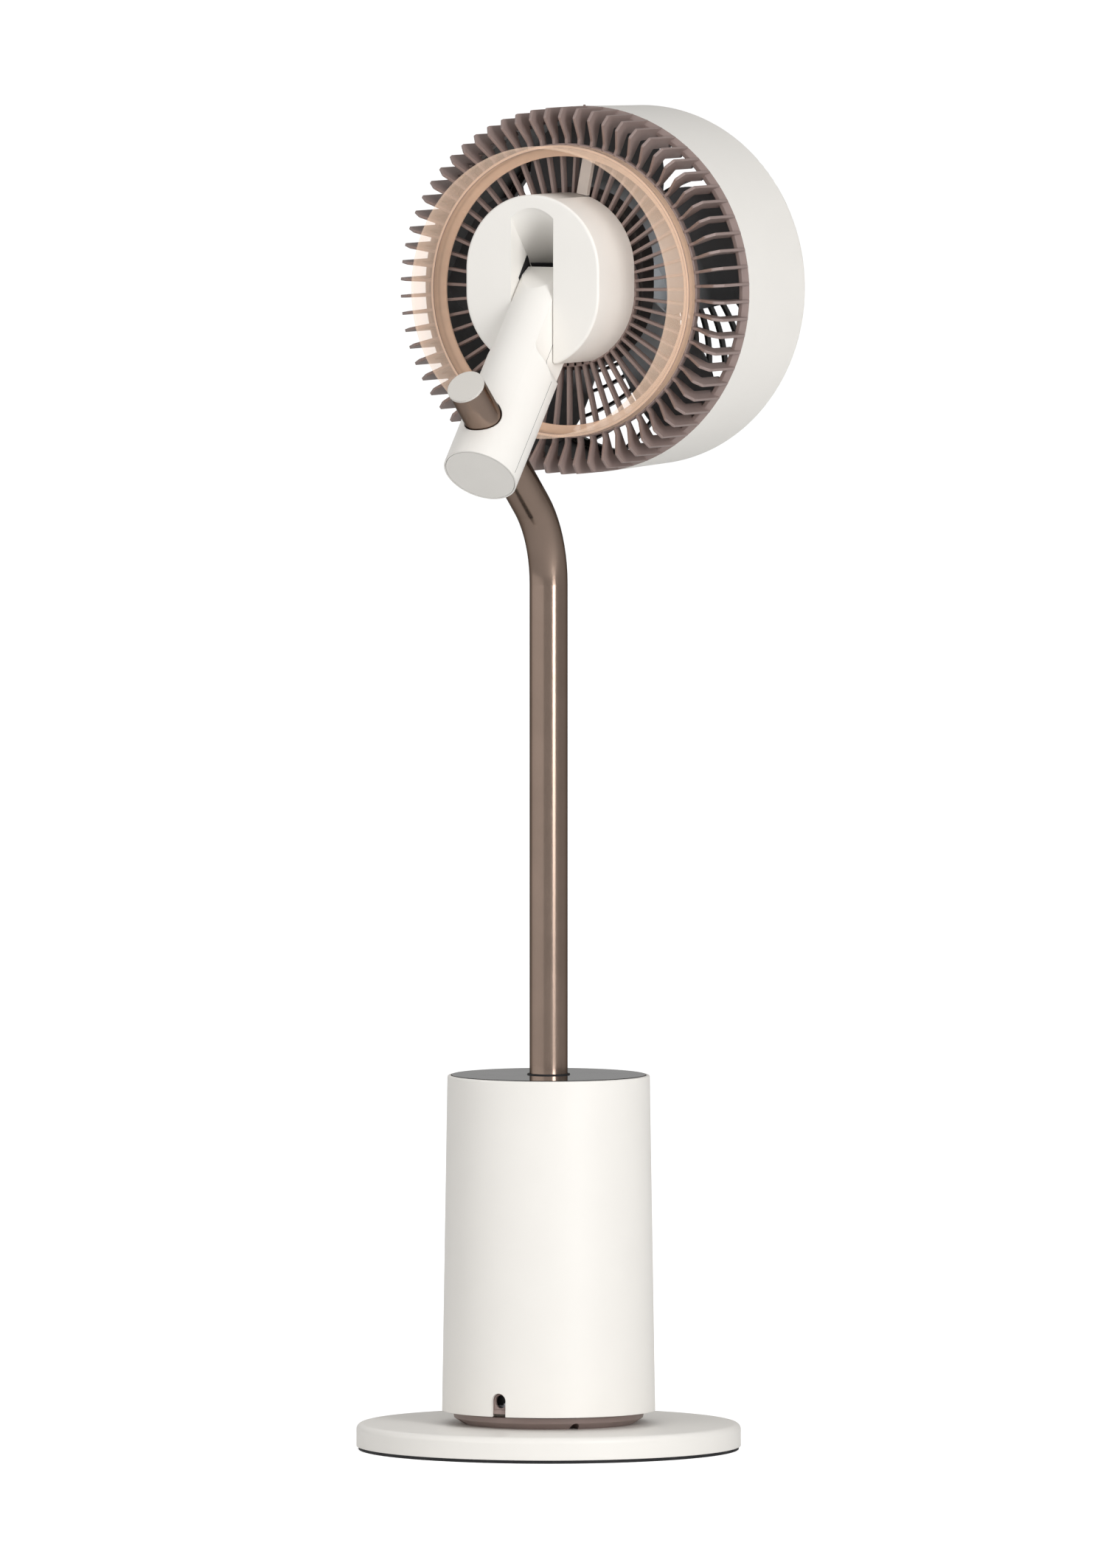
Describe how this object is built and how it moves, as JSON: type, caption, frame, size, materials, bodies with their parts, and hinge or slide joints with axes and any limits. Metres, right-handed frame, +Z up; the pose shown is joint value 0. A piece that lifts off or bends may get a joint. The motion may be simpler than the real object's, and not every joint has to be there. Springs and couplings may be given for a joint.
{
  "type": "pedestal air circulator fan",
  "caption": "Slim pedestal air circulator: a drum-shaped fan head tilts on a slanted arm at the end of a bent pole, which stands on a turning column over a round weighted base.",
  "frame": {"origin": "centre of the underside of the foot pad, on the axis that the column turns on", "axes": "+Z up along the pole; the fan blows towards -Y; X = 0 is the mirror plane"},
  "size_m": [0.282, 0.301, 0.9839],
  "materials": {
    "white_shell": "satin warm white moulding",
    "taupe_metal": "satin taupe metallic lacquer",
    "taupe_plastic": "matt taupe moulding",
    "accent_finish": "warm tan, softly streaked, under a satin varnish",
    "light_grey_plastic": "plain light grey moulding",
    "dark_plastic": "dark brown-black moulding",
    "blade_plastic": "mid grey moulding",
    "panel_glass": "back-painted grey glass",
    "black_rubber": "black rubber",
    "steel": "bright steel",
    "ballast_iron": "plain cast iron",
    "cast_aluminium": "die-cast aluminium",
    "gear_plastic": "natural acetal",
    "circuit_board": "green board with parts"
  },
  "bodies": {
    "base": {"foot_pad": "black_rubber", "floor_plate": "steel", "ballast_plate": "ballast_iron", "base_cover": "white_shell", "base_screws": "steel", "turntable_neck": "taupe_plastic", "neck_screws": "steel", "slide_ring": "gear_plastic", "centre_gear": "gear_plastic", "spindle_nut": "steel"},
    "column": {"column_shell": "white_shell", "column_chassis": "taupe_plastic", "shell_screws": "steel", "cord_outlet": "taupe_plastic", "pole_base": "cast_aluminium", "pole_base_screws": "steel", "pole_clamp": "steel", "yaw_motor": "steel", "power_board": "circuit_board", "panel_gasket": "black_rubber", "top_panel": "panel_glass", "touch_board": "circuit_board", "pole_grommet": "black_rubber", "pole": "taupe_metal", "pole_end_cap": "light_grey_plastic", "arm_rear_shell": "white_shell", "arm_front_shell": "white_shell", "arm_core": "cast_aluminium", "arm_end_cap": "light_grey_plastic", "tilt_axle": "steel", "friction_washers": "gear_plastic", "axle_nuts": "steel"},
    "pinion": {"yaw_pinion": "gear_plastic"},
    "head": {"hub_housing": "white_shell", "tilt_cheek_left": "steel", "tilt_cheek_right": "steel", "motor_plate": "cast_aluminium", "plate_screws": "steel", "rear_grille": "taupe_plastic", "accent_ring": "accent_finish", "cable_duct": "light_grey_plastic", "drum_shell": "white_shell", "front_grille": "dark_plastic", "front_cap": "light_grey_plastic", "motor_cover": "dark_plastic", "motor_stator": "steel", "motor_bearings": "steel"},
    "rotor": {"motor_shaft": "steel", "rotor_bell": "steel", "blade_nut": "blade_plastic", "fan_blade": "blade_plastic"}
  },
  "joints": [
    {"name": "base_yaw", "type": "hinge", "parent": "base", "child": "column", "pos_m": [0, 0, 0.0305], "axis": [0, 0, 1], "range_deg": [-45, 45]},
    {"name": "yaw_pinion_spin", "type": "hinge", "parent": "column", "child": "pinion", "pos_m": [0.0391, 0, 0.0338], "axis": [0, 0, 1], "range_deg": [-150, 150]},
    {"name": "head_tilt", "type": "hinge", "parent": "column", "child": "head", "pos_m": [0, 0, 0.83905], "axis": [-1, 0, 0], "range_deg": [-15, 90]},
    {"name": "blade_spin", "type": "hinge", "parent": "head", "child": "rotor", "pos_m": [0, -0.07, 0.84845], "axis": [0, -1, 0], "continuous": true}
  ],
  "couplings": [
    {"joint": "yaw_pinion_spin", "follows": "base_yaw", "ratio": 3.3333}
  ]
}
